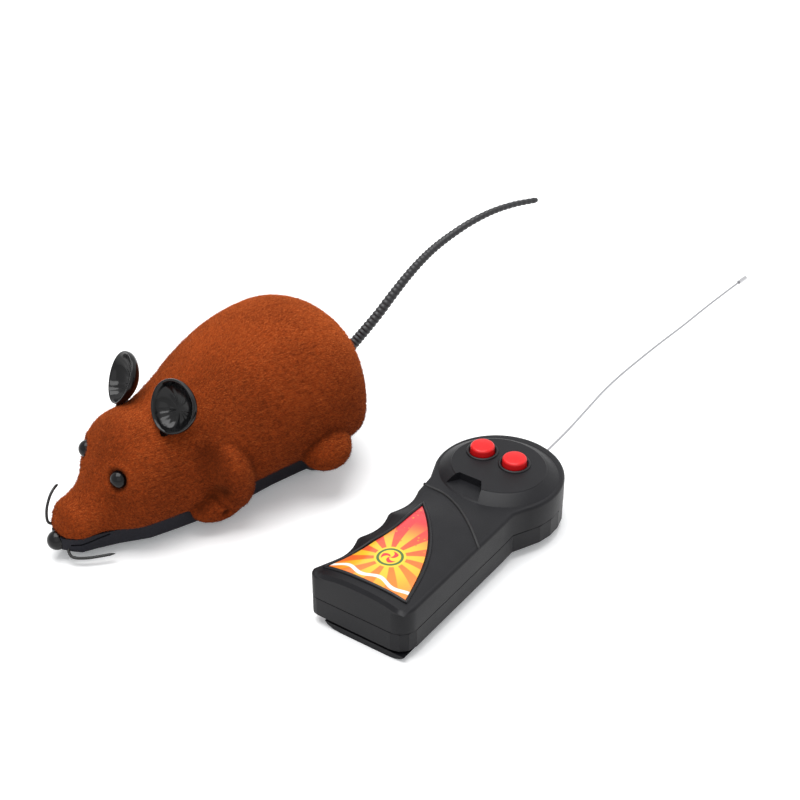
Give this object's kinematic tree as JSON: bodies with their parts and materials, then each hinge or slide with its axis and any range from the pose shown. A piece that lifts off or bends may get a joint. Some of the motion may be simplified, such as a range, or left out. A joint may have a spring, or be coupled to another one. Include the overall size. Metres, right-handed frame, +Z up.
{
  "type": "remote controlled toy mouse",
  "caption": "Flocked toy mouse on wheels with cupped ears, whiskers and a curved tail, and its handheld remote with two push buttons and a wire aerial.",
  "frame": {"origin": "on the floor under the middle of the set's overall box, as mouse and remote are laid out together", "axes": "+Z up; +X from the mouse's nose towards its tail; +Y to the mouse's right, with the remote on the -Y side"},
  "size_m": [0.3161, 0.1401, 0.0729],
  "materials": {
    "flock": "moulded plastic with short brown flock",
    "black_plastic": "fine textured black",
    "black_gloss": "polished black",
    "black_rubber": "satin black",
    "white_plastic": "natural white",
    "red_plastic": "glossy red",
    "steel": "bright",
    "brass": "bright",
    "cell": "bright cell case",
    "board": "green board with its parts",
    "label": "printed film"
  },
  "bodies": {
    "mouse": {"body_shell": "flock", "chassis": "black_plastic", "nose_tip": "black_gloss", "eye_left": "black_gloss", "eye_right": "black_gloss", "ear_left": "black_gloss", "ear_right": "black_gloss", "whisker_left": "black_plastic", "whisker_right": "black_plastic", "tail": "black_rubber", "tail_clip": "white_plastic", "idler_pin": "steel", "motor_can": "steel", "motor_end_cap": "white_plastic", "motor_lead": "black_rubber", "gearbox_frame": "white_plastic", "gearbox_cover": "white_plastic", "axle_bush_left": "brass", "axle_bush_right": "brass", "button_cell_1": "cell", "button_cell_2": "cell", "button_cell_3": "cell", "battery_spring": "steel", "battery_contact": "steel", "receiver_board": "board", "switch_body": "white_plastic", "shell_screw_front": "steel", "shell_screw_rear": "steel"},
    "drive_axle": {"rear_axle": "steel", "wheel_left": "white_plastic", "wheel_right": "white_plastic", "tyre_left": "black_rubber", "tyre_right": "black_rubber", "axle_gear": "white_plastic"},
    "idler": {"idler_gear": "white_plastic"},
    "motor_rotor": {"motor_shaft": "steel", "motor_pinion": "white_plastic"},
    "caster": {"caster_fork": "black_plastic", "caster_pin": "steel"},
    "caster_roller": {"caster_wheel": "white_plastic"},
    "mouse_door": {"battery_door": "black_plastic", "battery_door_screw": "steel"},
    "switch": {"switch_knob": "black_plastic"},
    "remote": {"remote_top_case": "black_plastic", "remote_bottom_case": "black_plastic", "remote_board": "board", "remote_dome_left": "black_rubber", "remote_dome_right": "black_rubber", "remote_cell_left": "cell", "remote_cell_right": "cell", "remote_contact_bridge": "steel", "remote_contact_spring": "steel", "remote_antenna": "steel", "remote_antenna_tip": "white_plastic", "remote_label": "label", "remote_screw": "steel"},
    "remote_door": {"remote_battery_door": "black_plastic"},
    "button_left": {"remote_button_left": "red_plastic"},
    "button_right": {"remote_button_right": "red_plastic"}
  },
  "joints": [
    {"name": "rear_axle_spin", "type": "hinge", "parent": "mouse", "child": "drive_axle", "pos_m": [-0.055, 0.0417, 0.011], "axis": [0, 1, 0], "continuous": true},
    {"name": "idler_spin", "type": "hinge", "parent": "mouse", "child": "idler", "pos_m": [-0.05974, 0.0417, 0.01992], "axis": [0, 1, 0], "continuous": true},
    {"name": "motor_spin", "type": "hinge", "parent": "mouse", "child": "motor_rotor", "pos_m": [-0.055, 0.0417, 0.02884], "axis": [0, 1, 0], "continuous": true},
    {"name": "caster_swivel", "type": "hinge", "parent": "mouse", "child": "caster", "pos_m": [-0.11, 0.0417, 0.0121], "axis": [0, 0, 1], "range_deg": [-40, 40]},
    {"name": "caster_spin", "type": "hinge", "parent": "caster", "child": "caster_roller", "pos_m": [-0.1068, 0.0417, 0.0058], "axis": [0, 1, 0], "continuous": true},
    {"name": "mouse_battery_door_hinge", "type": "hinge", "parent": "mouse", "child": "mouse_door", "pos_m": [-0.0947, 0.0417, 0.0037], "axis": [0, 1, 0], "range_deg": [0, 70]},
    {"name": "power_switch_slide", "type": "slide", "parent": "mouse", "child": "switch", "axis": [0, 1, 0], "range_m": [0, 0.002]},
    {"name": "remote_lift", "type": "slide", "parent": "mouse", "child": "remote", "axis": [0, 0, 1], "range_m": [0, 0.15]},
    {"name": "remote_battery_door_slide", "type": "slide", "parent": "remote", "child": "remote_door", "axis": [-0.9511, -0.309, 0], "range_m": [0, 0.0026]},
    {"name": "button_left_press", "type": "slide", "parent": "remote", "child": "button_left", "axis": [0, 0, -1], "range_m": [0, 0.0012], "stiffness_N_per_m": 400, "deforming": ["remote_dome_left"]},
    {"name": "button_right_press", "type": "slide", "parent": "remote", "child": "button_right", "axis": [0, 0, -1], "range_m": [0, 0.0012], "stiffness_N_per_m": 400, "deforming": ["remote_dome_right"]}
  ],
  "couplings": [
    {"joint": "idler_spin", "follows": "rear_axle_spin", "ratio": -3},
    {"joint": "motor_spin", "follows": "rear_axle_spin", "ratio": 9}
  ]
}
